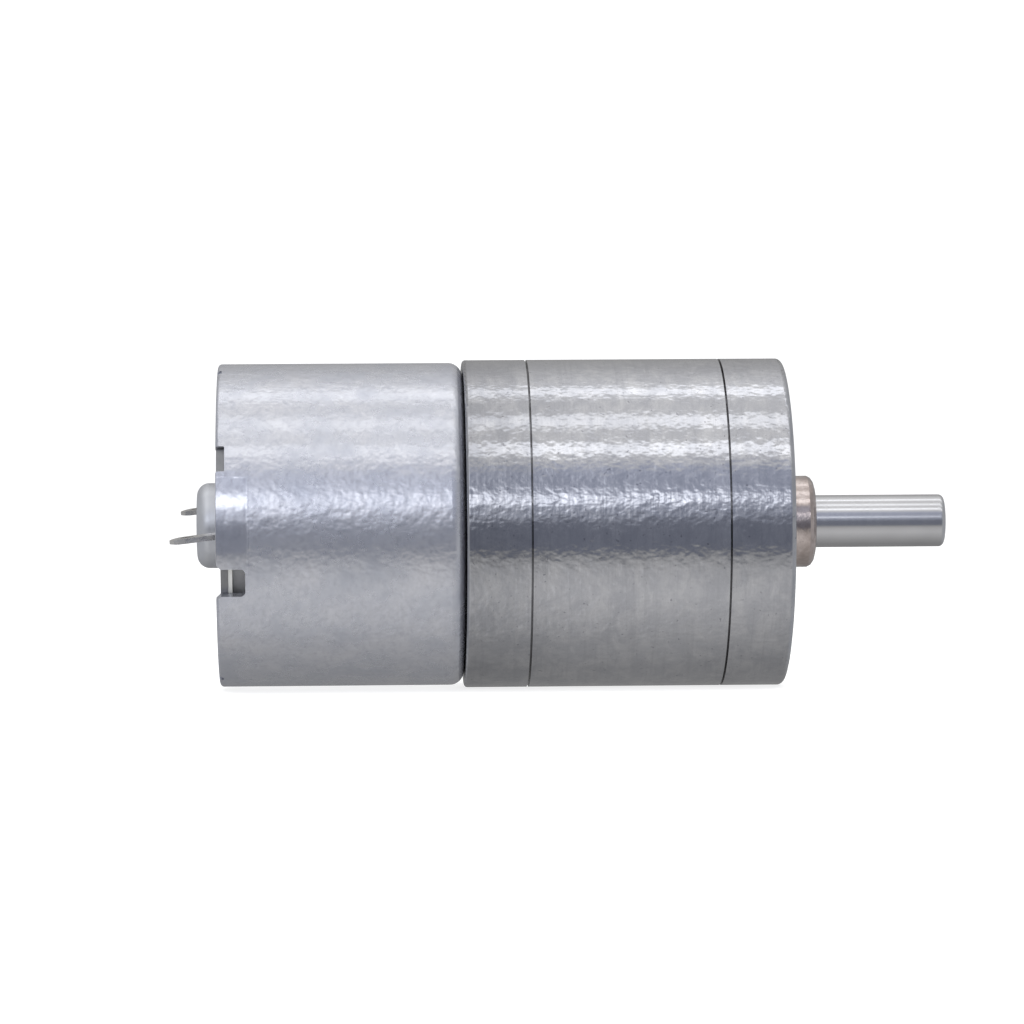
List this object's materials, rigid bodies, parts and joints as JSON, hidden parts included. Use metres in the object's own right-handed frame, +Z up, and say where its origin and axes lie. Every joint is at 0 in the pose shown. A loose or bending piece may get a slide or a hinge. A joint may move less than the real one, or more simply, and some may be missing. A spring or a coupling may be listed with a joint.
{
  "type": "geared dc motor",
  "caption": "Round brushed motor with an in-line spur gearbox, a short D-shaped output shaft and two rear solder terminals.",
  "frame": {"origin": "on the output shaft's axis, in the plane of the gearbox's front mounting face, at the centre of the mounting-hole pattern", "axes": "+X along the output shaft and out of the gearbox, +Z up, the motor towards -X; the terminals lie flat, one each side in Y"},
  "size_m": [0.059, 0.025, 0.025],
  "materials": {
    "shell_steel": "turned, fine rings round the axis",
    "can_steel": "zinc-plated, faint spangle",
    "plate_steel": "plain cold-rolled sheet",
    "shaft_steel": "ground and polished",
    "hard_steel": "hardened, ground",
    "screw_steel": "black oxide screws",
    "gear_steel": "cut teeth, lightly oiled",
    "gear_brass": "cut teeth, lightly oiled",
    "sintered_bronze": "oil-filled sintered bronze, dull",
    "terminal_tin": "tinned, slightly brown",
    "spring_bronze": "rolled strip",
    "copper": "turned copper",
    "enamelled_wire": "enamelled copper wire",
    "carbon": "pressed graphite",
    "magnet_ferrite": "sintered ferrite",
    "white_board": "pressed insulating board",
    "dark_moulding": "moulded nylon",
    "pale_moulding": "moulded nylon",
    "core_steel": "punched silicon steel",
    "varistor_ceramic": "fired ceramic"
  },
  "bodies": {
    "casing": {"rear_housing": "shell_steel", "gear_housing": "shell_steel", "front_cover": "shell_steel", "support_plate": "plate_steel", "tail_bush": "sintered_bronze", "output_bush": "sintered_bronze", "gear_pin_a": "hard_steel", "gear_pin_b": "hard_steel", "pin_spacers": "plate_steel", "housing_screws": "screw_steel", "motor_screws": "screw_steel", "motor_can": "can_steel", "end_plate": "plate_steel", "insulator_disc": "white_board", "brush_holder": "dark_moulding", "terminal_near": "terminal_tin", "terminal_far": "terminal_tin", "brush_leaves": "spring_bronze", "carbon_brushes": "carbon", "front_bearing": "sintered_bronze", "rear_bearing": "sintered_bronze", "magnet_upper": "magnet_ferrite", "magnet_lower": "magnet_ferrite", "magnet_clips": "plate_steel"},
    "rotor": {"motor_shaft": "hard_steel", "armature_laminations": "core_steel", "armature_insulators": "pale_moulding", "armature_coils": "enamelled_wire", "commutator_hub": "dark_moulding", "commutator_segments": "copper", "varistor_ring": "varistor_ceramic", "thrust_washers": "pale_moulding", "motor_pinion": "gear_brass"},
    "first_cluster": {"first_wheel": "gear_brass", "first_pinion": "gear_steel"},
    "second_cluster": {"second_wheel": "gear_steel", "second_pinion": "gear_steel"},
    "third_cluster": {"third_wheel": "gear_steel", "third_pinion": "gear_steel"},
    "fourth_cluster": {"fourth_wheel": "gear_steel", "fourth_pinion": "gear_steel"},
    "output": {"output_shaft": "shaft_steel", "output_wheel": "gear_steel", "output_washer": "plate_steel"}
  },
  "joints": [
    {"name": "rotor_spin", "type": "hinge", "parent": "casing", "child": "rotor", "pos_m": [0, 0, 0], "axis": [1, 0, 0], "continuous": true},
    {"name": "first_spin", "type": "hinge", "parent": "casing", "child": "first_cluster", "pos_m": [0, -0.0032, -0.00554], "axis": [1, 0, 0], "continuous": true},
    {"name": "second_spin", "type": "hinge", "parent": "casing", "child": "second_cluster", "pos_m": [0, 0.0032, -0.00554], "axis": [1, 0, 0], "continuous": true},
    {"name": "third_spin", "type": "hinge", "parent": "casing", "child": "third_cluster", "pos_m": [0, -0.0032, -0.00554], "axis": [1, 0, 0], "continuous": true},
    {"name": "fourth_spin", "type": "hinge", "parent": "casing", "child": "fourth_cluster", "pos_m": [0, 0.0032, -0.00554], "axis": [1, 0, 0], "continuous": true},
    {"name": "output_spin", "type": "hinge", "parent": "casing", "child": "output", "pos_m": [0, 0, 0], "axis": [1, 0, 0], "continuous": true}
  ],
  "couplings": [
    {"joint": "first_spin", "follows": "rotor_spin", "ratio": -0.45455},
    {"joint": "second_spin", "follows": "rotor_spin", "ratio": 0.20661},
    {"joint": "third_spin", "follows": "rotor_spin", "ratio": -0.093914},
    {"joint": "fourth_spin", "follows": "rotor_spin", "ratio": 0.042688},
    {"joint": "output_spin", "follows": "rotor_spin", "ratio": -0.019404}
  ]
}
